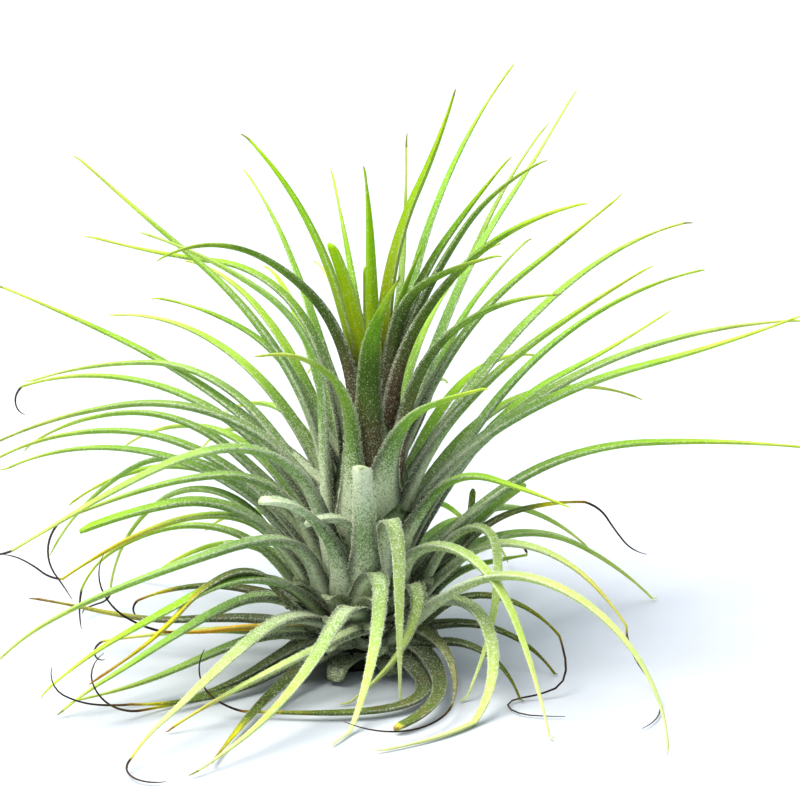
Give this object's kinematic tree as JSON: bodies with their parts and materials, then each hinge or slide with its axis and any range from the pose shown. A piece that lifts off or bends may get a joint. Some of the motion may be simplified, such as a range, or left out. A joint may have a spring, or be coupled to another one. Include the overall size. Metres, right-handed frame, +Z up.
{
  "type": "air plant",
  "caption": "Bare-rooted air plant: a rosette of narrow channelled silvery leaves round a short upright stem, with a bright green heart and drooping outer leaves.",
  "frame": {"origin": "centre of the stem's flat bottom, on the surface that the plant stands on", "axes": "+Z up along the plant, +X to its right side and +Y to its back"},
  "size_m": [0.1318, 0.1113, 0.0928],
  "materials": {
    "stem": "dull grey-green stem of packed leaf bases, matte",
    "heart_leaf": "bright yellow-green young leaf, smooth, soft sheen",
    "upper_leaf": "green leaf with a purple-brown base and fine white scales",
    "silver_leaf": "grey-green leaf dusted with fine silvery scales, matte",
    "drooping_leaf": "pale grey-green leaf turning yellow-green to its tip, matte",
    "old_leaf": "old olive-brown leaf, dull",
    "dry_leaf": "dried orange-brown leaf, papery"
  },
  "bodies": {
    "root": {"heart_leaves": "heart_leaf", "upper_leaf_front": "upper_leaf", "upper_leaves_right": "upper_leaf", "upper_leaf_low_right": "upper_leaf", "upper_leaf_left": "upper_leaf", "silver_leaf_1": "silver_leaf", "silver_leaf_2": "silver_leaf", "silver_leaves_1": "silver_leaf", "silver_leaf_3": "silver_leaf", "silver_leaf_4": "silver_leaf", "silver_leaf_5": "silver_leaf", "silver_leaves_2": "silver_leaf", "silver_leaves_3": "silver_leaf", "silver_leaf_6": "silver_leaf", "silver_leaves_4": "silver_leaf", "silver_leaf_7": "silver_leaf", "silver_leaf_8": "silver_leaf", "silver_leaf_9": "silver_leaf", "silver_leaf_10": "silver_leaf", "silver_leaf_11": "silver_leaf", "old_leaves_1": "old_leaf", "silver_leaf_12": "silver_leaf", "silver_leaf_13": "silver_leaf", "silver_leaf_14": "silver_leaf", "drooping_leaves_1": "drooping_leaf", "old_leaves_2": "old_leaf", "dry_leaf_1": "dry_leaf", "old_leaf_1": "old_leaf", "stub_leaves": "drooping_leaf", "drooping_leaf_1": "drooping_leaf", "drooping_leaf_2": "drooping_leaf", "drooping_leaf_3": "drooping_leaf", "drooping_leaf_4": "drooping_leaf", "drooping_leaf_5": "drooping_leaf", "drooping_leaf_6": "drooping_leaf", "dry_leaf_2": "dry_leaf", "silver_leaves_5": "silver_leaf", "silver_leaves_6": "silver_leaf", "silver_leaves_7": "silver_leaf", "silver_leaf_15": "silver_leaf", "silver_leaf_16": "silver_leaf", "silver_leaves_8": "silver_leaf", "drooping_leaf_7": "drooping_leaf", "drooping_leaves_2": "drooping_leaf", "drooping_leaf_8": "drooping_leaf", "old_leaf_2": "old_leaf", "old_leaves_3": "old_leaf", "old_leaf_3": "old_leaf", "drooping_leaf_9": "drooping_leaf", "silver_leaf_17": "silver_leaf", "silver_leaves_9": "silver_leaf", "back_leaves_1": "silver_leaf", "back_leaves_2": "silver_leaf", "back_leaves_3": "silver_leaf", "back_leaves_4": "silver_leaf", "back_leaves_5": "silver_leaf", "back_leaves_6": "drooping_leaf", "back_leaves_7": "drooping_leaf", "back_leaves_8": "drooping_leaf", "stem": "stem"}
  },
  "joints": []
}
